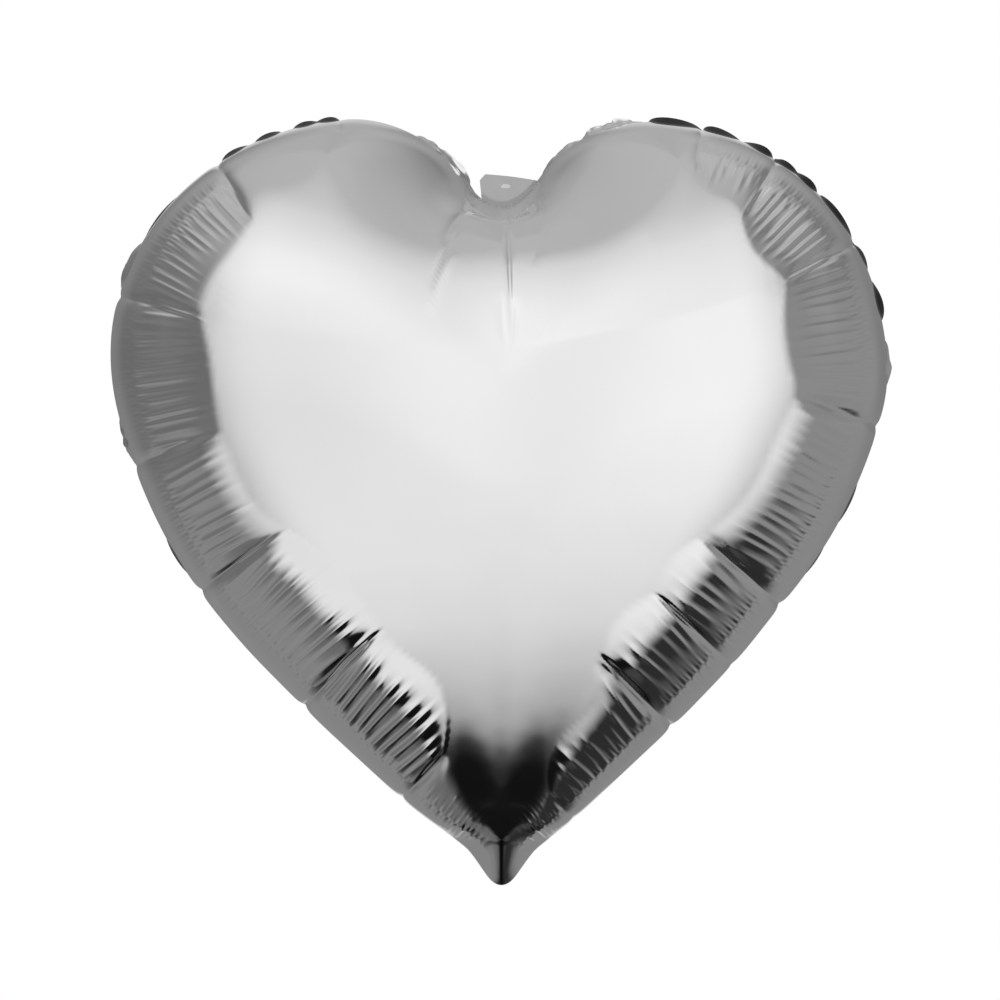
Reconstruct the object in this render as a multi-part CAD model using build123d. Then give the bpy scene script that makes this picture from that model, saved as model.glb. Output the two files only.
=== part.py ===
"""Heart-shaped foil balloon, inflated: two foil panels sealed round a flange, an inflation tab in the
cleft, and a flat two-ply self-sealing valve that runs from the port in the tab down into the chamber.

Frame: millimetres, +Z up, front face towards -Y. The origin is the centre of the inflation port, on
the plane where the two panels are sealed together. Films are drawn thicker than they are.
"""

import os
from math import atan2, cos, hypot, pi, radians, sin, sqrt, tan

from build123d import *

# Inflated heart, seen from the front.
LOBE_X = 74.0  # each lobe's centre, from the middle plane
LOBE_TOP = 33.5  # top of the lobes, above the port
LOBE_R = 113.0  # outer side of a lobe
SHOULDER_R = 69.0  # inner side of a lobe, towards the cleft
FLANK_R = 253.0  # long side, below the widest level
FLANK_START = radians(-15)  # where the lobe's arc hands over to the flank
TIP_SLOPE = radians(43)  # straight run towards the tip
NUB_HALF = 15.8  # half width where the sealed nub at the tip begins
NUB_SLOPE = radians(56)
NUB_R = 6.5  # rounded end of the nub

# Inflated chamber.
FLANGE = 5.0  # width of the heat-sealed flange around it
SEAL_DIP = -9.6  # lowest point of the seal across the cleft
SEAL_HALF = 16.0  # half width of that seal
TIP_HALF = 4.0  # half width of the chamber's lower end
CROWN = 92.0  # height of each panel's crown above the seal plane
VALLEY = 0.45  # share of that height which the crease under the cleft takes away
VALLEY_REACH = 0.55  # share of the heart's length over which the crease fades
ROWS = 33
COLUMNS = 33

# Films.
PANEL_T = 0.5
VALVE_T = 0.2

# Inflation tab.
FOLD_Z = -4.5  # the tab folds about this line
FOLD_GAP = 1.0  # film left out along the fold, so that the two sides clear each other
TAB_ROOT = 11.0  # half width at the fold
TAB_HALF = 13.2  # half width at the top
TAB_TOP = (6.0, 3.4)  # heights of its left and right corners
PORT_R = 2.2

# Self-sealing valve.
VALVE_HALF = 9.0
TONGUE_Z = -12.2  # the tongue swings about this line, just inside the chamber
TONGUE_GAP = 0.5
TONGUE_END = -74.0
TONGUE_END_HALF = 7.0


def polar(centre, r, angle):
    return (centre[0] + r * cos(angle), centre[1] + r * sin(angle))


def rim_arcs(inset, start_x):
    """The right side's arcs from the cleft down, as (centre, radius, first angle, last angle)."""
    shoulder_c = (LOBE_X, LOBE_TOP - SHOULDER_R)
    lobe_c = (LOBE_X, LOBE_TOP - LOBE_R)
    flank_c = polar(lobe_c, LOBE_R - FLANK_R, FLANK_START)
    shoulder_r = SHOULDER_R - inset
    rise = sqrt(shoulder_r**2 - (LOBE_X - start_x) ** 2)
    return [
        (shoulder_c, shoulder_r, atan2(rise, start_x - LOBE_X), pi / 2),
        (lobe_c, LOBE_R - inset, pi / 2, FLANK_START),
        (flank_c, FLANK_R - inset, FLANK_START, TIP_SLOPE - pi / 2),
    ]


def run_point(inset, x):
    """The point at x on the straight run towards the tip."""
    centre, r, _, last = rim_arcs(inset, SEAL_HALF)[-1]
    top = polar(centre, r, last)
    return (x, top[1] - (top[0] - x) * tan(TIP_SLOPE))


def rim_points(inset, start_x, end_x, count):
    """Points spaced evenly down the right side, as (x, z)."""
    arcs = rim_arcs(inset, start_x)
    top = polar(arcs[-1][0], arcs[-1][1], arcs[-1][3])
    end = run_point(inset, end_x)
    lengths = [r * (a - b) for _, r, a, b in arcs]
    total = sum(lengths) + hypot(top[0] - end[0], top[1] - end[1])
    points = []
    for k in range(count):
        # Bunched at both ends, where the chamber's depth changes fastest.
        along = total * (1 - cos(pi * k / (count - 1))) / 2
        for (centre, r, a, b), length in zip(arcs, lengths):
            if along <= length:
                points.append(polar(centre, r, a + (b - a) * along / length))
                break
            along -= length
        else:
            share = along / (total - sum(lengths))
            points.append((top[0] + (end[0] - top[0]) * share, top[1] + (end[1] - top[1]) * share))
    return points


def outline():
    """The flat outline of both panels, flange included and tab left out, as a face facing the front."""
    nub_top = run_point(0, NUB_HALF)
    fold_x = LOBE_X - sqrt(SHOULDER_R**2 - (FOLD_Z - FOLD_GAP / 2 - LOBE_TOP + SHOULDER_R) ** 2)
    end_touch = NUB_R * sin(NUB_SLOPE)
    end_z = nub_top[1] - (NUB_HALF - end_touch) * tan(NUB_SLOPE)
    edges = []
    for centre, r, a, b in rim_arcs(0, fold_x):
        ends = [polar(centre, r, angle) for angle in (a, (a + b) / 2, b)]
        edges.append(ThreePointArc(*ends))
    edges.append(Line(edges[-1] @ 1, nub_top))
    edges.append(Line(nub_top, (end_touch, end_z)))
    bottom = end_z - NUB_R * (1 - cos(NUB_SLOPE))
    half_touch = polar((0, bottom + NUB_R), NUB_R, (NUB_SLOPE - pi) / 2)
    edges.append(ThreePointArc((end_touch, end_z), half_touch, (0, bottom)))
    left = [mirror(edge, Plane.YZ) for edge in edges]
    top = Line(left[0] @ 0, edges[0] @ 0)
    return Plane.XZ * make_face([*edges, *left, top])


def skin(inset, crown):
    """A crowned surface in front of the seal plane, whose whole edge lies in that plane."""
    rim = rim_points(inset, SEAL_HALF + inset - FLANGE, TIP_HALF, ROWS)
    top_z = SEAL_DIP - (inset - FLANGE)
    end_z = rim[-1][1] - 1.5
    grid = []
    for k, (rim_x, rim_z) in enumerate(rim):
        phase = pi * k / (ROWS - 1)
        down = (1 - cos(phase)) / 2
        spine_z = top_z + (end_z - top_z) * down
        fade = max(0, 1 - down / VALLEY_REACH)
        row = []
        for j in range(COLUMNS):
            across = pi * (j / (COLUMNS - 1) - 0.5)
            x = rim_x * sin(across)
            z = spine_z + (rim_z - spine_z) * sin(across) ** 2
            dip = 1 - VALLEY * fade**2 * cos(across) ** 6
            row.append((x, -crown * sin(phase) ** 1.2 * cos(across) * dip, z))
        grid.append(row)
    return Face.make_surface_from_array_of_points(grid, tol=0.02, min_deg=3, max_deg=5)


def panel():
    """The front panel: a crowned film with its flat flange, sewn from its own faces."""
    outer = Pos(0, -PANEL_T, 0) * skin(FLANGE, CROWN - PANEL_T)
    inner = skin(FLANGE + PANEL_T, CROWN - PANEL_T)
    plate = extrude(outline(), PANEL_T)
    flats = plate.faces().filter_by(Axis.Y).sort_by(Axis.Y)
    front = Face(flats[0].outer_wire(), [outer.outer_wire()])
    back = Face(flats[-1].outer_wire(), [inner.outer_wire()])
    sides = [face for face in plate.faces() if face not in flats]
    film = Solid(Shell([outer, inner, front, back, *sides]))
    return film - valve_ply(SEAL_DIP - 3, FOLD_Z, VALVE_HALF, VALVE_HALF)


def valve_ply(low, high, low_half, high_half, thickness=VALVE_T):
    """A flat ply of clear film against the seal plane, front side."""
    corners = [(-low_half, low), (low_half, low), (high_half, high), (-high_half, high)]
    return extrude(Plane.XZ * make_face(Polyline(*corners, close=True)), thickness)


def tab_ply():
    """The tab's front ply, before the hollow that the valve lies in is taken out."""
    low = FOLD_Z + FOLD_GAP / 2
    corners = [(-TAB_ROOT, low), (TAB_ROOT, low), (TAB_HALF, TAB_TOP[1]), (-TAB_HALF, TAB_TOP[0])]
    return extrude(Plane.XZ * make_face(Polyline(*corners, close=True)), PANEL_T)


def main():
    port = Plane.XZ * extrude(Circle(PORT_R), 2 * PANEL_T)
    mouth_top = TAB_TOP[1] - 0.6
    mouth = valve_ply(FOLD_Z + FOLD_GAP / 2, mouth_top, VALVE_HALF, VALVE_HALF)
    throat_low = TONGUE_Z + TONGUE_GAP / 2
    throat = valve_ply(throat_low, FOLD_Z - FOLD_GAP / 2, VALVE_HALF, VALVE_HALF)
    tongue = valve_ply(TONGUE_END, TONGUE_Z - TONGUE_GAP / 2, TONGUE_END_HALF, VALVE_HALF)
    nodes = {
        "front_panel": panel(),
        "tab_front_ply": tab_ply() - mouth - port,
        "valve_mouth_front": mouth - port,
        "valve_throat_front": throat,
        "valve_tongue_front": tongue,
    }
    backs = {
        "back_panel": panel(),
        "tab_back_ply": tab_ply() - mouth,
        "valve_mouth_back": mouth,
        "valve_throat_back": throat,
        "valve_tongue_back": tongue,
    }
    nodes.update({name: mirror(shape, Plane.XZ) for name, shape in backs.items()})
    os.makedirs("parts", exist_ok=True)
    for name, shape in nodes.items():
        export_step(shape, f"parts/{name}.step")


main()
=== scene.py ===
"""A heart-shaped foil balloon. The two foil panels are inflated here from their flat cut, gathered into cells
and ribs along the seal, and joined by a scalloped flange; the tab and its valve follow the CAD nodes."""

import math

import bpy
import numpy as np
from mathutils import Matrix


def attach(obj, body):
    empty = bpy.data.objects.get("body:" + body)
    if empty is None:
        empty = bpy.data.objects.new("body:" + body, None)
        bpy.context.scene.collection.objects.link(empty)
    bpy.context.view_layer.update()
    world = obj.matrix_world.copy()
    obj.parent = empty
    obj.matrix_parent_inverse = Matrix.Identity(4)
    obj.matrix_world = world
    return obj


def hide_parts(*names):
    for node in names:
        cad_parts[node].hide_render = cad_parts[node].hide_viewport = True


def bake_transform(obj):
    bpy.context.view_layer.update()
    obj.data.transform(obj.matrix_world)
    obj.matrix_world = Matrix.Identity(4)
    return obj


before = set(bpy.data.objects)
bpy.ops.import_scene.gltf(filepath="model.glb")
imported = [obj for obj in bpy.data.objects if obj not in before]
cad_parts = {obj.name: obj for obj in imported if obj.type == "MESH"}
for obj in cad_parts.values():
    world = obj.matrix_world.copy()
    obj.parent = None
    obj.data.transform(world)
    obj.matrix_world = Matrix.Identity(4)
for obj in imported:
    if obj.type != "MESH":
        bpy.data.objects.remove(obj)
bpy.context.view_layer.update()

# ---------------------------------------------------------------------------------------------------------
# Dimensions, in metres. The outline repeats the CAD model's arcs.
LOBE_X = 0.074
LOBE_TOP = 0.0335
LOBE_R = 0.113
SHOULDER_R = 0.069
FLANK_R = 0.253
FLANK_START = math.radians(-15)
TIP_SLOPE = math.radians(43)
SEAL_DIP = -0.0096
SEAL_HALF = 0.016
NUB_HALF = 0.0156
NUB_SLOPE = math.radians(56)
NUB_R = 0.0065
RIM_INSET = 0.0006  # the inflated rim, inside the CAD flange's edge
OUTLINE_POINTS = 2001
CLEFT_POINTS = 400  # of those, the ones in the cleft

# Inflation.
FLAT_SCALE = 1.22  # flat cut against the inflated outline
PIVOT_Z = -0.140  # level that the scaling leaves alone
CROWN = 0.093
SPINE_DROP = 0.104  # from the cleft to the top of the middle line, in the flat cut
FOCUS_DROP = 0.030  # below that top, where the first rays end that leave the edge squarely
FLANK_REACH = 0.060  # how far a ray runs squarely from the edge before it bends
CLEFT_REACH = 0.050
START_WIDTH = 0.95  # share of the flat cut's width that the net starts at
START_DEPTH = 0.03
SIM_RAYS = 121
SIM_RINGS = 25
SIM_STEPS = 1500
SIM_SWEEPS = 3
SIM_DAMPING = 0.97
SIM_PUSH = 3e-5  # the furthest that the gas moves a point in one step
SIM_EASE = 0.93  # share of the push that is gone by the end
SMOOTHING = 4
CROWN_SMOOTHING = 160  # passes along the heart, for the crown only

# The mesh: rays run in from the seal, rings run round the heart.
RAYS = 960  # on each side
RINGS = 80
RING_BUNCHING = 0.4  # 0 for even rings; they bunch towards the seal

# Gathers along the seal.
FOLD_DEPTH = 0.0034
FOLD_ROUND = 0.0006  # radius that the film keeps at the bottom of a fold
FOLD_WIDTHS = (0.0011, 0.0030)  # of a fold's bottom and of its shoulders
LENS_WIDENS = (0.0006, 0.0018)  # what its lens adds to them
TWIN_DEPTH = 0.18
TWIN_WIDTHS = (0.0011, 0.0026)
RIB_PITCH = 0.0052
RIB_HEIGHT = 0.00024
RIB_SLOTS = 129  # more than any cell has ribs
BAND = 0.0125  # width in plan of the smooth band between the seal and the ribs
BAND_TAPER = 0.38  # how much of that it loses towards the tip
SAG = 0.0026  # how much the ribbed zone lies in, between its knees
BULGE_SKEW = 1.5  # a zone that bulges instead is highest towards its inner end
SHOULDER_RISE = 0.0009
CONE_TOP = -0.314  # the little cone at the tip starts here, without gathers
CONE_BUNCHING = 1.8  # how strongly its rings bunch towards the seal
CONE_CURVE = 0.9  # power by which its depth grows from the tip; 1 is straight
RIDGE = 0.7  # how blunt the front edge of that cone is, as a share of its half width
NECK_WALL = 0.0086  # height of the steep film below the neck
NECK_HALF = 0.0176  # half its width
NECK_DEPTH = 0.020  # how far it reaches before and behind the seal
NECK_GAP = 0.0003  # clears the valve film where it passes the seal

# Flange and tab.
FLANGE = 0.0052
FLANGE_ROWS = 4
FLANGE_KNOTS = 170  # along each side, between which its crumpled edge is straight
FLANGE_OVERLAP = 0.0003
CRUMPLE_TURN = 0.45
CRUMPLE_DEPTH = 0.0007
TAB_TOP = ((0.0174, 0.0030), (-0.0078, 0.0061))
TAB_CORNER = (-0.0104, 0.0032)
TAB_ROOTS = (0.0095, 0.0165)
TAB_ROWS = 16
TAB_COLUMNS = 240
TAB_STANDOFF = 0.0012  # of each ply from the plane of the seal, above the root
TAB_RISE = 0.003  # height over which it reaches that
TAB_WAVES = (0.00006, 0.00003)
PORT_CENTRE = (0.0020, 0.0002)
PORT_R = 0.0022
PORT_FLATNESS = 0.55  # height against width
PORT_SILL = 0.62  # its flat lower edge, as a share of the half height
PORT_ROWS = 4
FOLDED_BACK = math.radians(82)

# Studio.
FOIL_TONE = 0.92
VIEW_DISTANCE = 3.0
VIEW_WIDTH = 0.479
VIEW_X = -0.0007
VIEW_Z = -0.1499
FLOOR_Z = -0.75
FLOOR_R = 4.4
FRONT_DROOP = 0.085  # how much lower the front light hangs at its sides
LEFT_TO_RIGHT = (-0.6, 0.6)  # where one zone of light passes into the next, each from -1 to 1
LEFT_SIDE_TO_RIGHT = (-0.5, 0.5)
FRONT_TO_SIDE = (-0.76, -0.16)
SIDE_TO_REAR = (0.65, 0.92)
REAR_TO_CARD = (0.975, 0.999)

# Seeds of the random draws.
RIGHT_RIBS = 11
LEFT_RIBS = 12
BACK_RIGHT_RIBS = 13
BACK_LEFT_RIBS = 14
FLANGE_SEEDS = (21, 22)


class Crease:
    """A pinch in the seal, the fold that runs in from it, and the cell of ribs that follows it."""

    def __init__(self, at, reach, depth=1.0, twin=0.0, ribs=0.0, sag=0.2, relief=1.0, outer=1.0):
        self.at = at  # share of the side's length, from the cleft to the tip
        self.reach = reach  # how far the fold runs in over the film, in plan
        self.depth = depth
        self.twin = twin  # offset of a second, shallower fold beside it
        self.ribs = ribs  # how far in the ribs of the next cell run, 0 for a smooth cell
        self.sag = sag  # how far the next cell lies in between its knees
        self.relief = relief  # height of its ribs
        self.outer = outer  # share of that height which they have at the band


RIGHT_CREASES = [
    Crease(0.189, 0.024, 0.7, ribs=0.030, sag=0.4, relief=0.9),
    Crease(0.256, 0.034, 0.9, 0.004, ribs=0.044, sag=1.0, relief=1.6),
    Crease(0.351, 0.040, 1.1, -0.004, ribs=0.050, sag=1.0, relief=0.6),
    Crease(0.506, 0.044, 1.2, 0.004, ribs=0.046, sag=-0.35, relief=0.7, outer=0.4),
    Crease(0.674, 0.052, 1.4, -0.006, ribs=0.056, sag=-1.0, relief=1.3, outer=0.05),
    Crease(0.737, 0.052, 0.5, ribs=0.056, sag=-1.1, relief=1.3, outer=0.05),
    Crease(0.808, 0.050, 1.3, 0.006, ribs=0.034, sag=-0.2, relief=0.9, outer=0.6),
    Crease(0.918, 0.018, 0.4, ribs=0.016, sag=0.0, relief=0.3),
    Crease(0.966, 0.007, 0.25),
]
LEFT_CREASES = [
    Crease(0.157, 0.008, 0.5),
    Crease(0.263, 0.034, 1.0, 0.004, ribs=0.040, sag=0.5, relief=0.5),
    Crease(0.400, 0.044, 1.1, -0.005, ribs=0.050, sag=1.0, relief=1.0),
    Crease(0.541, 0.046, 1.1, 0.005, ribs=0.046, sag=-0.3, relief=1.1, outer=0.6),
    Crease(0.656, 0.052, 1.3, 0.005, ribs=0.058, sag=-1.3, relief=1.2, outer=0.3),
    Crease(0.782, 0.054, 1.4, -0.006, ribs=0.054, sag=-1.0, relief=1.7),
    Crease(0.891, 0.032, 0.9, 0.003, ribs=0.018, sag=0.0, relief=0.3),
    Crease(0.966, 0.007, 0.25),
]

# How far the seal stands out from the CAD outline, as (share of the side's length, metres).
RIGHT_FULLNESS = [
    (0, 0), (0.10, 0), (0.17, -0.0026), (0.30, -0.0036), (0.42, -0.0034), (0.48, -0.0004), (0.60, -0.0008),
    (0.69, -0.0024), (0.74, 0.0004), (0.80, 0.0024), (0.92, 0.0026), (0.97, 0), (1, 0),
]
LEFT_FULLNESS = [
    (0, 0), (0.14, 0), (0.20, -0.0022), (0.28, -0.0024), (0.36, -0.0008), (0.42, 0.0008), (0.50, 0.0008),
    (0.62, 0.0022), (0.70, 0.0024), (0.80, 0.0048), (0.90, 0.0044), (0.96, 0), (1, 0),
]


class Wrinkle:
    """A wrinkle away from the seal: a bent line in plan, on one side of the heart, as (x, z) points."""

    def __init__(self, start, middle, end, depth, width):
        self.start = start
        self.middle = middle
        self.end = end
        self.depth = depth  # negative for a ridge
        self.width = width

    def mirrored(self):
        start, middle, end = ((-x, z) for x, z in (self.start, self.middle, self.end))
        return Wrinkle(start, middle, end, self.depth, self.width)

    def shift(self, net):
        t = np.linspace(0, 1, 81)[:, None]
        start, middle, end = (np.array(point) for point in (self.start, self.middle, self.end))
        line = (1 - t) ** 2 * start + 2 * t * (1 - t) * middle + t**2 * end
        plan = net[..., [0, 2]].reshape(-1, 2)
        nearest = np.full(len(plan), np.inf)
        place = np.zeros(len(plan))
        for share, point in zip(t[:, 0], line):
            apart = np.hypot(*(plan - point).T)
            closer = apart < nearest
            nearest[closer] = apart[closer]
            place[closer] = share
        taper = np.sin(math.pi * place) ** 0.7
        push = -self.depth * taper * pinch(nearest, 0.4 * self.width, self.width)
        return push.reshape(net.shape[:2])


# Near the middle line, in the right side's coordinates; both sides take part in these.
MIDDLE_WRINKLES = [
    Wrinkle((0.0024, -0.0100), (0.0040, -0.0400), (0.0046, -0.0740), 0.0008, 0.0012),
    Wrinkle((0.0004, -0.0540), (-0.0004, -0.0660), (0.0022, -0.0800), 0.0006, 0.0018),
    Wrinkle((0.0060, -0.0560), (0.0082, -0.0660), (0.0052, -0.0800), 0.0006, 0.0018),
]
RIGHT_WRINKLES = [
    Wrinkle((0.000, -0.078), (0.070, -0.074), (0.136, -0.046), -0.0012, 0.016),
    Wrinkle((0.0100, -0.0075), (0.0094, -0.011), (0.0086, -0.0150), 0.0006, 0.0020),
    Wrinkle((0.018, -0.004), (0.022, -0.020), (0.014, -0.040), 0.0003, 0.0040),
]
LEFT_WRINKLES = [
    Wrinkle((0.000, -0.078), (0.070, -0.080), (0.136, -0.062), -0.0007, 0.018),
    Wrinkle((0.0100, -0.0090), (0.0215, -0.0130), (0.0275, -0.0290), 0.0010, 0.0022),
    Wrinkle((0.0190, -0.0210), (0.0290, -0.0340), (0.0330, -0.0520), 0.0005, 0.0016),
    Wrinkle((0.0220, -0.0320), (0.0300, -0.0450), (0.0335, -0.0640), -0.0007, 0.0026),
    Wrinkle((0.0055, -0.0080), (0.0046, -0.0110), (0.0036, -0.0150), 0.0006, 0.0020),
]
CREASES = (RIGHT_CREASES, LEFT_CREASES)
FULLNESS = (RIGHT_FULLNESS, LEFT_FULLNESS)
WRINKLES = (
    RIGHT_WRINKLES + MIDDLE_WRINKLES,
    LEFT_WRINKLES + [wrinkle.mirrored() for wrinkle in MIDDLE_WRINKLES],
)
MIRROR = np.array([-1.0, 1.0, 1.0])


# ---------------------------------------------------------------------------------------------------------
# Curves and sampling
def smoothstep(low, high, value):
    share = np.clip((value - low) / (high - low), 0, 1)
    return share * share * (3 - 2 * share)


def polar(centre, r, angle):
    return np.stack([centre[0] + r * np.cos(angle), centre[1] + r * np.sin(angle)], -1)


def lengths_along(points, axis=0):
    """Length from the first point of a line, or of each line of a grid."""
    step = np.linalg.norm(np.diff(points, axis=axis), axis=-1)
    return np.concatenate([np.zeros_like(step.take([0], axis)), np.cumsum(step, axis)], axis)


def resample(path, count):
    """Points evenly spaced along a polyline."""
    length = lengths_along(path)
    at = np.linspace(0, length[-1], count)
    return np.stack([np.interp(at, length, column) for column in path.T], -1)


def half_outline(inset, count):
    """The right side of the heart from the middle of the cleft to the tip, as (x, z)."""
    shoulder_c = (LOBE_X, LOBE_TOP - SHOULDER_R)
    lobe_c = (LOBE_X, LOBE_TOP - LOBE_R)
    flank_c = polar(lobe_c, LOBE_R - FLANK_R, FLANK_START)
    shoulder_r = SHOULDER_R - inset
    rise = math.sqrt(shoulder_r**2 - (LOBE_X - SEAL_HALF) ** 2)
    first = math.atan2(rise, SEAL_HALF - LOBE_X)
    last = TIP_SLOPE - math.pi / 2
    along = np.linspace(0, 1, 400)
    seal_top = shoulder_c[1] + rise
    seal = np.stack([SEAL_HALF * along, SEAL_DIP + (seal_top - SEAL_DIP) * along**2], -1)
    shoulder = polar(shoulder_c, shoulder_r, first + (math.pi / 2 - first) * along)
    lobe = polar(lobe_c, LOBE_R - inset, math.pi / 2 + (FLANK_START - math.pi / 2) * along)
    flank = polar(flank_c, FLANK_R - inset, FLANK_START + (last - FLANK_START) * along)
    nub_r = NUB_R - inset
    nub_top = flank[-1, 1] - (flank[-1, 0] - NUB_HALF) * math.tan(TIP_SLOPE)
    nub_z = nub_top + (nub_r - NUB_HALF * math.sin(NUB_SLOPE)) / math.cos(NUB_SLOPE)
    nub = polar((0, nub_z), nub_r, NUB_SLOPE - math.pi / 2 - NUB_SLOPE * along)
    corner = np.array([[NUB_HALF, nub_top]])
    path = resample(np.concatenate([seal, shoulder, lobe, flank, corner, nub]), 1501)
    for _ in range(30):  # rounds the corners where the pieces meet
        path[1:-1] += 0.25 * (path[2:] + path[:-2] - 2 * path[1:-1])
        path[0, 1], path[-1, 1] = path[1, 1], path[-2, 1]
    return resample(path, count)


def cleft_arc():
    """The seal from the middle of the cleft to beyond the tab's roots, on the right, as (x, z)."""
    return half_outline(RIM_INSET, OUTLINE_POINTS)[:CLEFT_POINTS]


def inward_normals(line):
    """Unit normals of the right side's outline, towards the inside of the heart."""
    tangent = np.gradient(line, axis=0)
    normal = np.stack([tangent[:, 1], -tangent[:, 0]], -1)
    return normal / np.linalg.norm(normal, axis=1)[:, None]


def sample_rows(rows, at):
    """Cubic B-spline samples of rows padded by one at each end, at indices that ignore the padding."""
    base = np.clip(np.floor(at).astype(int), 0, len(rows) - 4)
    t = at - base
    weights = [(1 - t) ** 3, 3 * t**3 - 6 * t**2 + 4, -3 * t**3 + 3 * t**2 + 3 * t + 1, t**3]
    shape = (-1, *[1] * (rows.ndim - 1))
    return sum(weight.reshape(shape) / 6 * rows[base + k] for k, weight in enumerate(weights))


def pad_rays(net):
    """Adds the mirrored ray beyond the cleft and beyond the tip."""
    return np.concatenate([net[1:2] * MIRROR, net, net[-2:-1] * MIRROR])


def pad_rings(net):
    """Adds a ring beyond the seal, and the mirrored ring beyond the middle line."""
    return np.concatenate([2 * net[:, :1] - net[:, 1:2], net, net[:, -2:-1] * MIRROR], 1)


# ---------------------------------------------------------------------------------------------------------
# Inflation: the flat half panel is a net of threads that can shorten but not stretch.
def flat_net(goal):
    """Rays that leave the flat cut's edge squarely and bend to the middle line, as (rays, rings, xz)."""
    rays = len(goal)
    flat = goal * FLAT_SCALE
    flat[:, 1] += PIVOT_Z * (1 - FLAT_SCALE)
    inward = inward_normals(flat)
    leftward = np.maximum(-inward[:, 0], 0.02)
    crossing = flat[:, 1] + flat[:, 0] * inward[:, 1] / leftward  # where each normal meets the middle line
    top = flat[0, 1] - SPINE_DROP
    focus = top - FOCUS_DROP
    share = np.linspace(0, 1, rays)
    square = np.argmax((crossing < focus) & (share > 0.3))
    ends = np.where(np.arange(rays) < square, top + (focus - top) * share / share[square], crossing)
    ends = np.minimum.accumulate(np.clip(ends, flat[-1, 1] + 0.004, top))
    middle = np.stack([np.zeros(rays), ends], -1)
    reach = np.minimum(FLANK_REACH, flat[:, 0] / leftward / 2)
    reach = np.where(inward[:, 0] < -0.05, reach, CLEFT_REACH)
    bend = flat + inward * reach[:, None]
    bend[:, 0] = np.maximum(bend[:, 0], 0)
    t = np.linspace(0, 1, SIM_RINGS)[None, :, None]
    return (1 - t) ** 2 * flat[:, None] + 2 * t * (1 - t) * bend[:, None] + t**2 * middle[:, None]


def inflate(net):
    """The flat half net after inflation, as (rays, rings, xyz)."""
    rays, rings = net.shape[:2]
    place = np.zeros((rays, rings, 3))
    place[..., 0] = net[..., 0] * START_WIDTH
    place[..., 2] = net[..., 1]
    place[..., 1] = -START_DEPTH * np.sin(np.linspace(0, math.pi / 2, rings))

    def span(a, b):
        return np.linalg.norm(a - b, axis=-1)

    round_rest = span(net[1:], net[:-1])
    in_rest = span(net[:, 1:], net[:, :-1])
    down_rest = span(net[1:, 1:], net[:-1, :-1])
    up_rest = span(net[1:, :-1], net[:-1, 1:])

    def pull(a, b, rest):
        apart = b - a
        length = np.sqrt((apart * apart).sum(-1)) + 1e-12
        apart *= (np.maximum(length - rest, 0) / length / 2)[..., None]
        a += apart
        b -= apart

    before = place.copy()
    for step in range(SIM_STEPS):
        push = np.cross(np.gradient(place, axis=0), np.gradient(place, axis=1))
        push *= -np.sign(push[rays // 2, rings // 2, 1])
        moved = (place - before) * SIM_DAMPING
        before = place.copy()
        force = SIM_PUSH * (1 - SIM_EASE * smoothstep(0.3, 0.9, step / SIM_STEPS))
        place = place + moved + push * (force / np.abs(push).max())
        for _ in range(SIM_SWEEPS):
            for s in (0, 1):
                pull(place[s:-1:2], place[s + 1 :: 2], round_rest[s::2])
                pull(place[:, s:-1:2], place[:, s + 1 :: 2], in_rest[:, s::2])
                pull(place[s:-1:2, :-1], place[s + 1 :: 2, 1:], down_rest[s::2])
                pull(place[s + 1 :: 2, :-1], place[s:-1:2, 1:], up_rest[s::2])
            place[:, 0, 1] = 0
            place[:, -1, 0] = place[0, :, 0] = place[-1, :, 0] = 0
            np.minimum(place[..., 1], 0, out=place[..., 1])
            np.maximum(place[..., 0], 0, out=place[..., 0])
    return place


def refine(place, goal):
    """The inflated half net, fitted to the outline, smoothed, and sampled finely."""
    length = lengths_along(place, 1)
    near_rim = (1 - length / length[:, -1:]) ** 2
    miss = goal - place[:, 0][:, [0, 2]]
    place[..., 0] += miss[:, :1] * near_rim
    place[..., 2] += miss[:, 1:] * near_rim
    place[..., 1] *= CROWN / -place[..., 1].min()
    for _ in range(SMOOTHING):
        padded = pad_rays(place)
        place[:, 1:] = ((padded[2:] + padded[:-2] + 2 * padded[1:-1]) / 4)[:, 1:]
        padded = pad_rings(place)
        place = (padded[:, 2:] + padded[:, :-2] + 2 * padded[:, 1:-1]) / 4
    crown = smoothstep(0.2, 0.75, np.linspace(0, 1, SIM_RINGS))[:, None]
    for _ in range(CROWN_SMOOTHING):
        padded = pad_rays(place)
        place = place + 0.25 * crown * (padded[2:] + padded[:-2] - 2 * place)
    place[..., 1] *= CROWN / -place[..., 1].min()
    fine = sample_rows(pad_rays(place), np.linspace(0, len(place) - 1, RAYS + 1))
    length = lengths_along(fine, 1)
    padded = pad_rings(fine)
    share = np.linspace(0, 1, RINGS + 1)
    share = (1 - RING_BUNCHING) * share + RING_BUNCHING * share**2
    net = np.empty((RAYS + 1, RINGS + 1, 3))
    for ray in range(RAYS + 1):
        at = np.interp(share * length[ray, -1], length[ray], np.arange(SIM_RINGS))
        net[ray] = sample_rows(padded[ray], at)
    net[0, :, 0] = net[-1, :, 0] = net[:, -1, 0] = 0
    return net


def towards_cone(start, end, z):
    """0 above a start and 1 below an end, both given as heights over the top of the cone at the tip."""
    return smoothstep(CONE_TOP + start, CONE_TOP + end, z)


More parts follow.
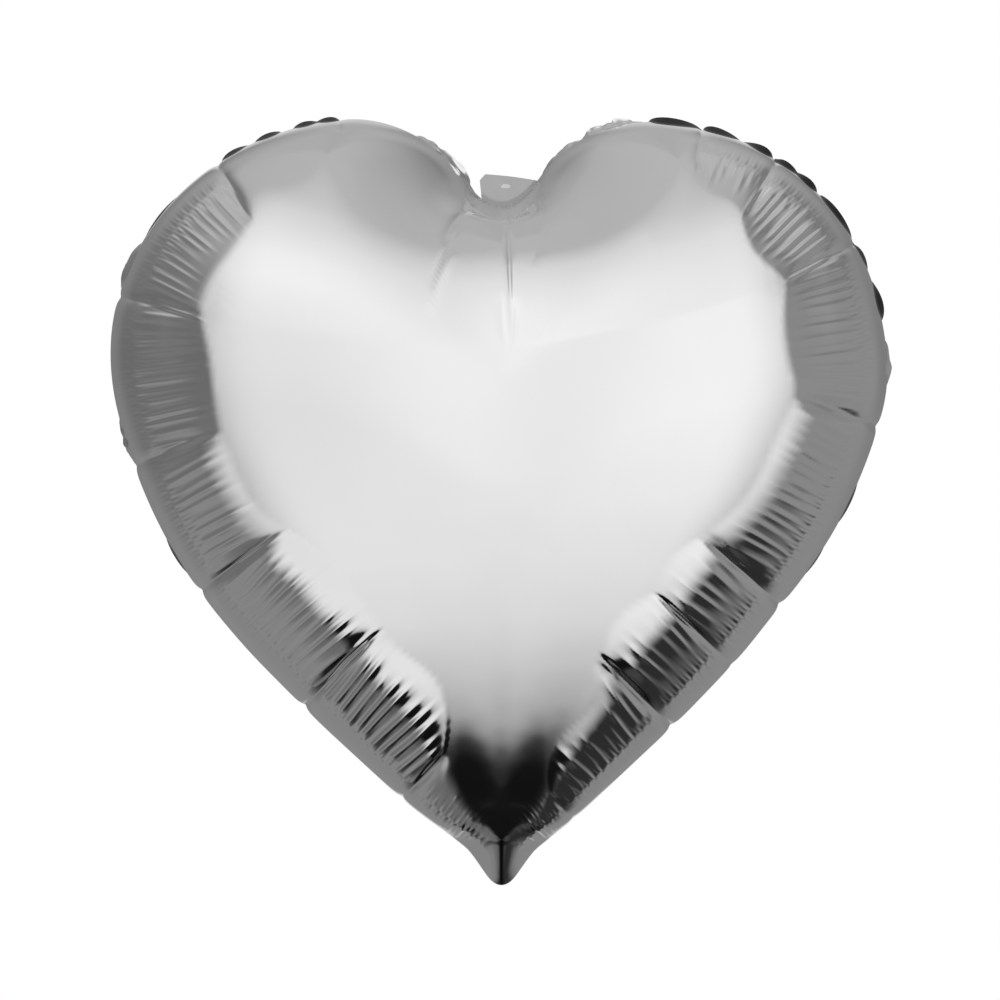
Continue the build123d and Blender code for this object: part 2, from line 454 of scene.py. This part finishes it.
def rounded_tip(net):
    """The net with its last rays laid straight in plan over a blunt ridge: the small cone at the tip."""
    rim = net[:, 0][:, [0, 2]]
    spine = np.concatenate([net[-1], net[::-1, -1]])
    heights = np.maximum.accumulate(spine[:, 2])
    straightened = towards_cone(0.014, 0, rim[:, 1])[:, None]
    in_plan = (np.linspace(0, 1, net.shape[1]) ** CONE_BUNCHING)[None, :, None]
    straight = rim[:, None] + (net[:, -1][:, None, [0, 2]] - rim[:, None]) * in_plan
    x = net[..., 0] + (straight[..., 0] - net[..., 0]) * straightened
    z = net[..., 2] + (straight[..., 1] - net[..., 2]) * straightened
    flank = rim[len(rim) // 2 :][::-1]
    half_width = np.interp(z, flank[:, 1], flank[:, 0]) + 1e-6
    across = np.clip(x / half_width, 0, 1)
    up_cone = np.clip((z - rim[-1, 1]) / (CONE_TOP - rim[-1, 1]), 0, 1)
    depth = np.interp(np.maximum(z, CONE_TOP), heights, -spine[:, 1]) * up_cone**CONE_CURVE
    ridge_end = math.hypot(1, RIDGE)
    ridge = depth * (ridge_end - np.hypot(across, RIDGE)) / (ridge_end - RIDGE)
    oval = depth * np.sqrt(1 - across**2)
    section = oval + (ridge - oval) * towards_cone(0.012, 0, z)
    rounded = towards_cone(0.036, 0.014, rim[:, 1])[:, None] * towards_cone(0.034, 0.018, z)
    y = net[..., 1] - (section + net[..., 1]) * rounded
    return np.stack([x, y, z], -1)


def grid_normals(net):
    """Outward normals of a front half net."""
    padded = pad_rings(pad_rays(net))
    normal = np.cross(padded[2:, 1:-1] - padded[:-2, 1:-1], padded[1:-1, 2:] - padded[1:-1, :-2])
    normal *= -np.sign(normal[len(net) // 2, net.shape[1] // 2, 1])
    normal[0, :, 0] = normal[-1, :, 0] = normal[:, -1, 0] = 0
    return normal / (np.linalg.norm(normal, axis=-1)[..., None] + 1e-12)


# ---------------------------------------------------------------------------------------------------------
# Gathers: what the spare film along the seal does.
def rim_coordinates(net):
    """Each point's place along the seal and its distance in from it, both measured in plan."""
    rim = net[:, 0][:, [0, 2]]
    length = lengths_along(rim)
    inward = inward_normals(rim)
    plan = net[..., [0, 2]]
    s, d = np.empty(net.shape[:2]), np.empty(net.shape[:2])
    for ring in range(net.shape[1]):
        apart = plan[:, ring, None] - rim[None]
        nearest = np.argmin((apart**2).sum(-1), 1)
        offset = plan[:, ring] - rim[nearest]
        tangent = np.stack([-inward[nearest, 1], inward[nearest, 0]], -1)
        s[:, ring] = length[nearest] + (offset * tangent).sum(-1)
        d[:, ring] = (offset * inward[nearest]).sum(-1)
    return s, np.maximum(d, 0), length[-1]


def pinch(across, tight, wide):
    """A fold's section: a sharp bottom and softly rounded shoulders of these widths, 1 at the bottom."""
    across = np.sqrt(across**2 + FOLD_ROUND**2) - FOLD_ROUND
    return 0.55 * np.exp(-across / tight) + 0.45 * np.exp(-((across / wide) ** 1.5))


def filled_out(net, fullness):
    """The half net with its seal moved in or out in plan, and the film near the seal with it."""
    s, d, side = rim_coordinates(net)
    places, moves = np.array(fullness).T
    fine = np.linspace(0, 1, 401)
    move = np.interp(fine, places, moves)
    for _ in range(60):
        move[1:-1] += 0.25 * (move[2:] + move[:-2] - 2 * move[1:-1])
    rim = net[:, 0][:, [0, 2]]
    inward = inward_normals(rim)
    place = np.clip(s / side, 0, 1)
    amount = np.interp(place, fine, move) * (1 - smoothstep(0.0, 0.08, d))
    amount *= smoothstep(0, 0.02, net[..., 0])  # the middle line keeps its place
    moved = net.copy()
    for axis, column in ((0, 0), (2, 1)):
        moved[..., axis] -= amount * np.interp(place, lengths_along(rim) / side, inward[:, column])
    return moved


def fold_shift(crease, across, d):
    """One crease: a tight line over the outer band that opens into a long lens, with or without a twin."""
    inner = np.clip(d / crease.reach, 0, 1)
    fade = 1 - smoothstep(0.6, 1, inner)
    lens = np.sin(math.pi * np.clip((inner - 0.15) / 0.85, 0, 1)) ** 2
    depth = FOLD_DEPTH * crease.depth
    section = pinch(across, *(width + more * lens for width, more in zip(FOLD_WIDTHS, LENS_WIDENS)))
    shift = -depth * fade * (0.32 + 0.18 * lens) * section
    if crease.twin:
        beside = across - crease.twin * (0.35 + 0.35 * inner)
        window = smoothstep(0.2, 0.45, inner) * (1 - smoothstep(0.8, 1, inner))
        shift -= TWIN_DEPTH * depth * window * pinch(beside, *TWIN_WIDTHS)
    return shift


def cell_shift(crease, span, s, d, band, rng):
    """The film between two creases: a smooth outer band, a knee, and ribs square to the seal."""
    low, high, reaches = span
    share = np.clip((s - low) / (high - low), 0, 1)
    inside = smoothstep(low - 0.0005, low + 0.002, s) * (1 - smoothstep(high - 0.002, high + 0.0005, s))
    bow = np.sin(math.pi * share)
    ends = reaches[0] + (reaches[1] - reaches[0]) * share
    inner = np.maximum(ends * (1 - bow) + crease.ribs * bow, band + 0.006)
    jag = 0.0012 * np.sin(s * 1900 + rng.uniform(0, 6)) * np.sin(s * 700 + rng.uniform(0, 6))
    shift = SHOULDER_RISE * inside * bow**0.5 * np.exp(-np.abs(d - band - jag) / 0.0028)
    between = np.clip((d - band) / (inner - band), 0, 1)
    skew = BULGE_SKEW if crease.sag < 0 else 1.0
    shift -= SAG * crease.sag * np.sin(math.pi * between**skew) * inside * (0.75 + 0.25 * bow)
    along = (s - (low + high) / 2) * (1 - 4.0 * np.minimum(d, 0.06))
    phase = along / RIB_PITCH + rng.uniform()
    phase = phase + 0.12 * np.sin(phase * 2.3 + rng.uniform(0, 6)) + 0.08 * np.sin(phase * 0.9 + d * 70)
    number = (np.round(phase).astype(int) + RIB_SLOTS // 2) % RIB_SLOTS
    strength = crease.relief * rng.uniform(0.45, 1.35, RIB_SLOTS)[number]
    start = band - 0.0005 + rng.uniform(-0.0015, 0.0025, RIB_SLOTS)[number]
    stop = inner + rng.uniform(-0.007, 0.003, RIB_SLOTS)[number]
    window = smoothstep(start, start + 0.004, d) * (1 - smoothstep(stop - 0.5 * (inner - band), stop, d))
    window = window * (crease.outer + (1 - crease.outer) * smoothstep(0.1, 0.65, between))
    wave = 0.5 + 0.5 * np.cos(2 * math.pi * phase)
    ripple = 0.3 * np.cos(4 * math.pi * phase + 1.0) * wave
    return shift + 2 * RIB_HEIGHT * strength * window * inside * (wave + ripple)


def gathers(net, creases, wrinkles, seed):
    """How far the film stands off the smooth shape, along its normal: folds, cells, ribs and wrinkles."""
    rng = np.random.default_rng(seed)
    s, d, side = rim_coordinates(net)
    band = BAND * (1 - BAND_TAPER * smoothstep(0.68, 0.98, s / side))
    shift = np.zeros(s.shape)
    for crease in creases:
        shift += fold_shift(crease, s - crease.at * side, d)
    for crease, following in zip(creases, [*creases[1:], None]):
        if crease.ribs:
            span = (crease.at * side, following.at * side, (crease.reach, following.reach))
            shift += cell_shift(crease, span, s, d, band, rng)
    for wrinkle in wrinkles:
        shift += wrinkle.shift(net) * smoothstep(0.0, 0.003, d)
    # The two sides meet smoothly above the cone at the tip, which has no gathers.
    height = net[..., 2] - CONE_TOP
    calm = smoothstep(0.014, 0.044, height)
    calm += (1 - calm) * smoothstep(0.001, 0.008, net[..., 0])
    return shift * calm * smoothstep(-0.006, 0.001, height)


def panel_halves(seeds):
    """The right and left halves of a panel's finished film."""
    halves = []
    for fullness, creases, wrinkles, seed in zip(FULLNESS, CREASES, WRINKLES, seeds):
        net = filled_out(SMOOTH, fullness)
        half = net + grid_normals(net) * gathers(net, creases, wrinkles, seed)[..., None]
        half[:, 0, 1] = 0
        half[:, 1:, 1] = np.minimum(half[:, 1:, 1], -0.00005)
        depth = lengths_along(half, 1)
        neck = 1 - smoothstep(SEAL_HALF * 0.8, SEAL_HALF * 1.4, half[:, :1, 0])
        half[..., 1] -= NECK_GAP * neck * (1 - smoothstep(0, 0.010, depth))
        half[0, :, 0] = half[-1, :, 0] = half[:, -1, 0] = 0
        halves.append(half)
    return halves


def film_mesh(name, right, left, front):
    """One panel as a mesh: two half nets that share the middle line."""
    rays, rings = right.shape[:2]
    whole = np.arange(rays * rings).reshape(rays, rings)
    mirrored = whole.copy()
    mirrored[1:-1, :-1] = rays * rings + np.arange((rays - 2) * (rings - 1)).reshape(rays - 2, rings - 1)
    points = np.concatenate([right.reshape(-1, 3), (left * MIRROR)[1:-1, :-1].reshape(-1, 3)])
    quads = []
    for index in (whole, mirrored[::-1]):
        corners = [index[:-1, :-1], index[1:, :-1], index[1:, 1:], index[:-1, 1:]]
        quads.append(np.stack(corners, -1).reshape(-1, 4))
    quads = np.concatenate(quads)
    if not front:
        points = points * np.array([1.0, -1.0, 1.0])
        quads = quads[:, ::-1]
    return new_piece(name, points, quads)


def in_neck(piece):
    """Whether each face is on the crinkled wall of film behind the valve's neck, which takes rougher foil and
    painted shade.
    """
    centres = np.array([face.center for face in piece.data.polygons])
    arc = cleft_arc()
    above = np.interp(np.abs(centres[:, 0]), arc[:, 0], arc[:, 1]) - centres[:, 2]
    near = np.abs(centres[:, :2]) < (NECK_HALF, NECK_DEPTH)
    return (above < NECK_WALL) & near.all(1)


def new_piece(name, points, faces):
    mesh = bpy.data.meshes.new(name)
    mesh.from_pydata(points, [], faces.tolist())
    mesh.polygons.foreach_set("use_smooth", [True] * len(mesh.polygons))
    mesh.update()
    piece = bpy.data.objects.new(name, mesh)
    bpy.context.scene.collection.objects.link(piece)
    return piece


# ---------------------------------------------------------------------------------------------------------
# Seal flange and tab
class Flap:
    """A stretch of the flange that stands up instead of lying folded back."""

    def __init__(self, start, end, lean, skew=1.0, crumple=0.0):
        self.start = start  # shares of the side's length
        self.end = end
        self.lean = math.radians(lean)  # from the plane of the seal, towards the back
        self.skew = skew  # below 1 the flap is highest near its start
        self.crumple = crumple  # how far its edge is bent about


RIGHT_FLAPS = [
    Flap(0.045, 0.086, 60, crumple=0.35),
    Flap(0.088, 0.140, 52, crumple=0.7),
    Flap(0.145, 0.189, 50, 0.7),
    Flap(0.190, 0.221, 54, 0.6),
    Flap(0.224, 0.252, 52, 1.5),
    Flap(0.253, 0.278, 56, 0.8),
    Flap(0.272, 0.298, 54, 1.3),
    Flap(0.301, 0.345, 58, 0.8),
    Flap(0.348, 0.374, 66),
    Flap(0.384, 0.417, 54, 1.3),
    Flap(0.434, 0.470, 60, crumple=0.4),
    Flap(0.556, 0.590, 72),
    Flap(0.615, 0.640, 76),
]
LEFT_FLAPS = [
    Flap(0.026, 0.092, 50, crumple=0.6),
    Flap(0.156, 0.176, 60, 0.8),
    Flap(0.172, 0.194, 60, 1.2),
    Flap(0.204, 0.227, 62),
    Flap(0.233, 0.258, 64, 1.2),
    Flap(0.306, 0.345, 74),
    Flap(0.352, 0.392, 54, crumple=0.4),
    Flap(0.500, 0.534, 68, crumple=0.3),
    Flap(0.605, 0.636, 72),
]


def flange_side(half, flaps, seed):
    """The flange along one side, as (stations, rows, xyz), and whether each station is on a smooth flap
    (painted shade).
    """
    rng = np.random.default_rng(seed)
    rim = half[:, 0][:, [0, 2]]
    share = lengths_along(rim)
    share /= share[-1]
    outward = -inward_normals(half_outline(RIM_INSET, len(rim)))
    rim = rim - outward * FLANGE_OVERLAP
    angle = np.full(len(rim), FOLDED_BACK)
    crumple = np.zeros(len(rim))
    lifted = np.zeros(len(rim), bool)
    for flap in flaps:
        along = np.clip((share - flap.start) / (flap.end - flap.start), 0, 1)
        bump = np.sin(math.pi * along**flap.skew)
        angle = np.minimum(angle, FOLDED_BACK + (flap.lean - FOLDED_BACK) * bump**0.7)
        crumple += flap.crumple * bump
        lifted |= (bump > 0.02) & (flap.crumple == 0)
    knots = rng.normal(0, 1, (FLANGE_ROWS + 1, FLANGE_KNOTS))
    places = np.linspace(0, 1, FLANGE_KNOTS)
    strip = []
    for row, knot in enumerate(knots):
        out = FLANGE * row / FLANGE_ROWS
        rough = np.interp(share, places, knot)
        turn = angle + crumple * CRUMPLE_TURN * rough * row / FLANGE_ROWS
        plan = rim + outward * (out * np.cos(turn))[:, None]
        depth = out * np.sin(turn) + CRUMPLE_DEPTH * crumple * np.roll(rough, 9) * row / FLANGE_ROWS
        strip.append(np.stack([plan[:, 0], depth, plan[:, 1]], -1))
    return np.stack(strip, 1), lifted


def flange_piece(halves):
    """The sealed flange from one edge of the tab round to the other, folded back but for its flaps."""
    points, faces, dark = [], [], []
    count = 0
    for half, flaps, mirror, seed in zip(halves, (RIGHT_FLAPS, LEFT_FLAPS), (1, -1), FLANGE_SEEDS):
        strip, lifted = flange_side(half, flaps, seed)
        first = np.argmax(half[:, 0, 0] > (TAB_ROOTS[1] if mirror == 1 else TAB_ROOTS[0]))
        strip, lifted = strip[first:], lifted[first:]
        index = count + np.arange(strip.shape[0] * strip.shape[1]).reshape(strip.shape[:2])
        count += index.size
        points.append((strip * np.array([mirror, 1, 1])).reshape(-1, 3))
        quads = np.stack([index[:-1, :-1], index[:-1, 1:], index[1:, 1:], index[1:, :-1]], -1)
        faces.append(quads.reshape(-1, 4)[:, ::mirror])
        # Smooth standing flaps take the second slot, a near-black foil: painted shade for the dark that these
        # flaps reflect.
        dark.append(np.repeat(lifted[:-1], FLANGE_ROWS))
    piece = new_piece("seal_flange", np.concatenate(points), np.concatenate(faces))
    piece.data.materials.append(foil_material)
    piece.data.materials.append(flap_shade_material)
    piece.data.polygons.foreach_set("material_index", np.concatenate(dark).astype(np.int32))
    return piece


def tab_outline(count):
    """The tab's closed outline: the seal's arc, a slanted, lightly waved top edge and a clipped corner."""
    across = np.linspace(0, 1, 200)
    arc = cleft_arc()
    left_arc, right_arc = (arc[arc[:, 0] < root] for root in TAB_ROOTS)
    seal = np.concatenate([left_arc[::-1] * [-1, 1], right_arc[1:]])
    right_top, left_top = np.array(TAB_TOP)
    top = right_top + (left_top - right_top) * across[:, None]
    top[:, 1] += 0.0004 * np.sin(math.pi * across)
    path = np.concatenate([seal, top, [TAB_CORNER], seal[:1]])
    path = resample(path, count * 4 + 1)[:-1]
    for _ in range(9):
        path += 0.25 * (np.roll(path, 1, 0) + np.roll(path, -1, 0) - 2 * path)
    return path[::4]


def tab_piece(name, side, port):
    """One ply of the tab. side is -1 for the front ply and 1 for the back one; valve film fills the port."""
    outline = tab_outline(TAB_COLUMNS)
    centre = np.array(PORT_CENTRE)
    away = outline - centre
    angle = np.arctan2(away[:, 1], away[:, 0])
    height = PORT_FLATNESS * PORT_R * np.maximum(np.sin(angle), -PORT_SILL)
    hole = np.stack([PORT_R * np.cos(angle), height], -1)
    row = np.arange(TAB_ROWS + 1)[:, None, None]
    filling = np.clip(row / PORT_ROWS, 0.02, 1)
    beyond = np.clip((row - PORT_ROWS) / (TAB_ROWS - PORT_ROWS), 0, 1)
    plan = centre + hole * filling + (away - hole) * beyond
    x, z = plan[..., 0], plan[..., 1]
    arc = cleft_arc()
    rise = smoothstep(0, TAB_RISE, z - np.interp(np.abs(x), arc[:, 0], arc[:, 1]))
    waves = TAB_WAVES[0] * np.sin(x * 330 + 1.0) + TAB_WAVES[1] * np.sin(x * 700 + z * 400)
    depth = side * (NECK_GAP + TAB_STANDOFF * rise) + waves * rise
    points = np.stack([x, depth, z], -1)
    index = np.arange(points.shape[0] * points.shape[1]).reshape(points.shape[:2])
    ahead = np.roll(index, -1, 1)
    quads = np.stack([index[:-1], index[1:], ahead[1:], ahead[:-1]], -1).reshape(-1, 4)
    ply = new_piece(name, points.reshape(-1, 3), quads[:, ::-side])
    ply.data.materials.append(tab_material if port else lining_material)
    ply.data.materials.append(port_material if port else lining_material)
    in_port = np.arange(len(quads)) < PORT_ROWS * TAB_COLUMNS
    ply.data.polygons.foreach_set("material_index", in_port.astype(np.int32))
    return ply


# ---------------------------------------------------------------------------------------------------------
# Materials
def new_material(name):
    material = bpy.data.materials.new(name)
    material.use_nodes = True
    return material, material.node_tree, material.node_tree.nodes["Principled BSDF"]


def noise(tree, coordinates, scale, detail):
    node = tree.nodes.new("ShaderNodeTexNoise")
    node.inputs["Scale"].default_value = scale
    node.inputs["Detail"].default_value = detail
    tree.links.new(coordinates.outputs["Object"], node.inputs["Vector"])
    return node.outputs["Fac"]


def spread(tree, value, low, high):
    """Maps a noise value's middle range to low .. high."""
    node = tree.nodes.new("ShaderNodeMapRange")
    for socket, number in zip(("From Min", "From Max", "To Min", "To Max"), (0.3, 0.7, low, high)):
        node.inputs[socket].default_value = number
    tree.links.new(value, node.inputs["Value"])
    return node.outputs["Result"]


def grey(tree, value):
    colour = tree.nodes.new("ShaderNodeCombineColor")
    for socket in ("Red", "Green", "Blue"):
        tree.links.new(value, colour.inputs[socket])
    return colour.outputs["Color"]


def bump(tree, value, strength, distance, normal=None):
    node = tree.nodes.new("ShaderNodeBump")
    node.inputs["Strength"].default_value = strength
    node.inputs["Distance"].default_value = distance
    tree.links.new(value, node.inputs["Height"])
    if normal:
        tree.links.new(normal, node.inputs["Normal"])
    return node.outputs["Normal"]


def metal_film(name, tone, roughness, grain):
    """Metallised film: a mirror with smudges, fine grain and a slow unevenness."""
    material, tree, shader = new_material(name)
    coordinates = tree.nodes.new("ShaderNodeTexCoord")
    smudges = spread(tree, noise(tree, coordinates, 14.0, 3.0), tone * 0.97, tone)
    tree.links.new(grey(tree, smudges), shader.inputs["Base Color"])
    dullness = spread(tree, noise(tree, coordinates, 45.0, 4.0), *roughness)
    tree.links.new(dullness, shader.inputs["Roughness"])
    slow = bump(tree, noise(tree, coordinates, 55.0, 1.0), 0.5, 0.00012)
    fine = bump(tree, noise(tree, coordinates, 1400.0, 1.0), grain, 0.00004, slow)
    tree.links.new(fine, shader.inputs["Normal"])
    shader.inputs["Metallic"].default_value = 1.0
    return material


def clear_film(name):
    """Translucent valve film, lightly frosted and creased."""
    material, tree, shader = new_material(name)
    coordinates = tree.nodes.new("ShaderNodeTexCoord")
    cloudiness = spread(tree, noise(tree, coordinates, 80.0, 2.0), 0.72, 0.84)
    tree.links.new(grey(tree, cloudiness), shader.inputs["Base Color"])
    frost = spread(tree, noise(tree, coordinates, 200.0, 3.0), 0.18, 0.34)
    tree.links.new(frost, shader.inputs["Roughness"])
    creases = bump(tree, noise(tree, coordinates, 260.0, 2.0), 0.4, 0.0002)
    tree.links.new(creases, shader.inputs["Normal"])
    shader.inputs["Transmission Weight"].default_value = 0.1
    shader.inputs["IOR"].default_value = 1.5
    return material


# ---------------------------------------------------------------------------------------------------------
# Studio: a wide soft front light, greyer sides, a dark zone below, and white behind the object.
def tone_value(tone):
    """Linear light that the foil shows as a display tone from 0 to 1."""
    return tone**2.2 / FOIL_TONE


def ramp(tree, value, stops):
    """A smooth curve of light through (position from -1 to 1, display tone) stops."""
    shift = tree.nodes.new("ShaderNodeMath")
    shift.operation = "MULTIPLY_ADD"
    shift.inputs[1].default_value = 0.5
    shift.inputs[2].default_value = 0.5
    tree.links.new(value, shift.inputs[0])
    node = tree.nodes.new("ShaderNodeValToRGB")
    elements = node.color_ramp.elements
    while len(elements) < len(stops):
        elements.new(0.5)
    for element, (place, tone) in zip(elements, stops):
        element.position = (place + 1) / 2
        element.color = (*[tone_value(tone)] * 3, 1)
    tree.links.new(shift.outputs[0], node.inputs[0])
    return node.outputs["Color"]


def mixed(tree, share, a, b):
    node = tree.nodes.new("ShaderNodeMix")
    node.data_type = "RGBA"
    tree.links.new(share, node.inputs["Factor"])
    tree.links.new(a, node.inputs["A"])
    tree.links.new(b, node.inputs["B"])
    return node.outputs["Result"]


def window(tree, value, low, high):
    """0 below low, 1 above high, with a soft edge."""
    node = tree.nodes.new("ShaderNodeMapRange")
    node.interpolation_type = "SMOOTHSTEP"
    node.inputs["From Min"].default_value = low
    node.inputs["From Max"].default_value = high
    tree.links.new(value, node.inputs["Value"])
    return node.outputs["Result"]


# Each stop is (height of the direction from -1 to 1, display tone).
BELOW = [
    (-1.0, 0.08), (-0.83, 0.10), (-0.81, 0.16), (-0.797, 0.26), (-0.785, 0.46), (-0.77, 0.60), (-0.75, 0.67),
]
FRONT_LEFT_LIGHT = BELOW + [
    (-0.70, 0.77), (-0.62, 0.86), (-0.5, 0.89), (-0.3, 0.88), (0.0, 0.87), (0.3, 0.89), (0.5, 0.91),
    (0.65, 0.95), (0.75, 0.94), (0.85, 0.89), (0.93, 0.83), (1.0, 0.70),
]
FRONT_RIGHT_LIGHT = BELOW + [
    (-0.70, 0.76), (-0.62, 0.84), (-0.5, 0.88), (-0.3, 0.92), (0.0, 0.95), (0.3, 0.95), (0.5, 0.94),
    (0.65, 0.92), (0.75, 0.90), (0.85, 0.87), (0.93, 0.80), (1.0, 0.70),
]
LEFT_LIGHT = [
    (-1.0, 0.20), (-0.93, 0.38), (-0.8, 0.43), (-0.7, 0.50), (-0.5, 0.52), (-0.3, 0.44), (0.0, 0.41),
    (0.5, 0.46), (0.65, 0.55), (0.8, 0.67), (1.0, 0.70),
]
RIGHT_LIGHT = [
    (-1.0, 0.16), (-0.95, 0.26), (-0.87, 0.18), (-0.70, 0.19), (-0.58, 0.38), (-0.46, 0.52), (0.0, 0.54),
    (0.3, 0.52), (0.5, 0.46), (0.65, 0.50), (0.8, 0.60), (1.0, 0.70),
]
REAR_LIGHT = [
    (-1.0, 0.06), (-0.85, 0.14), (-0.7, 0.32), (-0.55, 0.50), (-0.3, 0.52), (0.0, 0.47), (0.3, 0.50),
    (0.6, 0.62), (0.8, 0.67), (1.0, 0.67),
]
REAR_CARD = [
    (-1.0, 0.05), (-0.8, 0.08), (-0.65, 0.30), (-0.5, 0.65), (-0.2, 0.82), (0.2, 0.82), (0.6, 0.66),
]


def studio_world():
    world = bpy.data.worlds.new("studio")
    bpy.context.scene.world = world
    world.use_nodes = True
    tree = world.node_tree
    direction = tree.nodes.new("ShaderNodeTexCoord")
    split = tree.nodes.new("ShaderNodeSeparateXYZ")
    tree.links.new(direction.outputs["Generated"], split.inputs[0])
    level = tree.nodes.new("ShaderNodeVectorMath")
    level.operation = "MULTIPLY"
    level.inputs[1].default_value = (1, 1, 0)
    tree.links.new(direction.outputs["Generated"], level.inputs[0])
    heading = tree.nodes.new("ShaderNodeVectorMath")
    heading.operation = "NORMALIZE"
    tree.links.new(level.outputs[0], heading.inputs[0])
    plan = tree.nodes.new("ShaderNodeSeparateXYZ")
    tree.links.new(heading.outputs[0], plan.inputs[0])
    backwards, sideways = plan.outputs["Y"], plan.outputs["X"]
    droop = tree.nodes.new("ShaderNodeMath")
    droop.operation = "MULTIPLY"
    tree.links.new(sideways, droop.inputs[0])
    tree.links.new(sideways, droop.inputs[1])
    front_height = tree.nodes.new("ShaderNodeMath")
    front_height.operation = "MULTIPLY_ADD"
    front_height.inputs[1].default_value = FRONT_DROOP
    tree.links.new(droop.outputs[0], front_height.inputs[0])
    tree.links.new(split.outputs["Z"], front_height.inputs[2])
    low_at_sides = front_height.outputs[0]
    front_zones = [ramp(tree, low_at_sides, stops) for stops in (FRONT_LEFT_LIGHT, FRONT_RIGHT_LIGHT)]
    side_zones = [ramp(tree, split.outputs["Z"], stops) for stops in (LEFT_LIGHT, RIGHT_LIGHT)]
    rear, card = [ramp(tree, split.outputs["Z"], stops) for stops in (REAR_LIGHT, REAR_CARD)]
    front = mixed(tree, window(tree, sideways, *LEFT_TO_RIGHT), *front_zones)
    side = mixed(tree, window(tree, sideways, *LEFT_SIDE_TO_RIGHT), *side_zones)
    light = mixed(tree, window(tree, backwards, *FRONT_TO_SIDE), front, side)
    light = mixed(tree, window(tree, backwards, *SIDE_TO_REAR), light, rear)
    light = mixed(tree, window(tree, backwards, *REAR_TO_CARD), light, card)
    rays = tree.nodes.new("ShaderNodeLightPath")
    white = tree.nodes.new("ShaderNodeRGB")
    white.outputs[0].default_value = (1, 1, 1, 1)
    seen = mixed(tree, rays.outputs["Is Camera Ray"], light, white.outputs[0])
    tree.links.new(seen, tree.nodes["Background"].inputs["Color"])


def studio_floor():
    """A pale floor that the hovering balloon shades softly."""
    place = (0, 0, FLOOR_Z)
    bpy.ops.mesh.primitive_circle_add(vertices=96, radius=FLOOR_R, fill_type="NGON", location=place)
    floor = bpy.context.object
    floor.name = "floor"
    material, tree, shader = new_material("floor")
    coordinates = tree.nodes.new("ShaderNodeTexCoord")
    shade = spread(tree, noise(tree, coordinates, 3.0, 3.0), 0.86, 0.90)
    tree.links.new(grey(tree, shade), shader.inputs["Base Color"])
    shader.inputs["Roughness"].default_value = 0.9
    floor.data.materials.append(material)
    floor.visible_glossy = False


def studio_light():
    """One big soft light overhead, for the floor; the foil reflects only the surroundings."""
    data = bpy.data.lights.new("soft_light", "AREA")
    data.size = 3.0
    data.energy = 60.0
    light = bpy.data.objects.new("soft_light", data)
    light.location = (0.4, -0.8, 2.6)
    light.rotation_euler = (math.radians(14), math.radians(8), 0)
    light.visible_glossy = False
    bpy.context.scene.collection.objects.link(light)


def studio_camera():
    data = bpy.data.cameras.new("camera")
    data.lens = data.sensor_width * VIEW_DISTANCE / VIEW_WIDTH
    camera = bpy.data.objects.new("camera", data)
    camera.location = (VIEW_X, -VIEW_DISTANCE, VIEW_Z)
    camera.rotation_euler = (math.pi / 2, 0, 0)
    bpy.context.scene.collection.objects.link(camera)
    bpy.context.scene.camera = camera


# ---------------------------------------------------------------------------------------------------------
# The pieces
foil_material = metal_film("silver_foil", FOIL_TONE, (0.05, 0.10), 0.03)
# Rougher, grainier foil for the crinkled wall below the neck; its darker tone is painted shade for that
# recess.
neck_crinkle_and_shade_material = metal_film("neck_foil_crinkle_and_shade", 0.84, (0.30, 0.42), 0.3)
# Near-black foil for the flange's smooth standing flaps: painted shade for the dark surroundings that they
# reflect.
flap_shade_material = metal_film("flap_painted_shade", 0.06, (0.18, 0.30), 0.2)
tab_material = metal_film("tab_foil", 0.46, (0.20, 0.32), 0.25)
port_material = metal_film("port_film", 0.66, (0.22, 0.34), 0.25)
lining_material = metal_film("tab_lining", 0.64, (0.22, 0.34), 0.25)
film_material = clear_film("valve_film")

OUTLINE = half_outline(RIM_INSET, SIM_RAYS)
SMOOTH = rounded_tip(refine(inflate(flat_net(OUTLINE)), OUTLINE))
right, left = panel_halves((RIGHT_RIBS, LEFT_RIBS))
front = film_mesh("front_foil", right, left, True)
back = film_mesh("back_foil", *panel_halves((BACK_RIGHT_RIBS, BACK_LEFT_RIBS)), False)
for piece, node in ((front, "front_panel"), (back, "back_panel")):
    piece.data.materials.append(foil_material)
    piece.data.materials.append(neck_crinkle_and_shade_material)
    piece.data.polygons.foreach_set("material_index", in_neck(piece).astype(np.int32))
    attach(piece, "envelope")
    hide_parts(node)

flange = flange_piece((right, left))
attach(flange, "envelope")

for name, side, port, node in (
    ("tab_front_foil", -1, True, "tab_front_ply"),
    ("tab_back_foil", 1, False, "tab_back_ply"),
):
    ply = tab_piece(name, side, port)
    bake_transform(ply)
    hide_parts(node)

for name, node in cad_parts.items():
    if name.startswith("valve"):
        for material_slot in node.material_slots:
            material_slot.material = film_material

studio_world()
studio_floor()
studio_light()
studio_camera()
bpy.context.scene.view_settings.view_transform = "Standard"
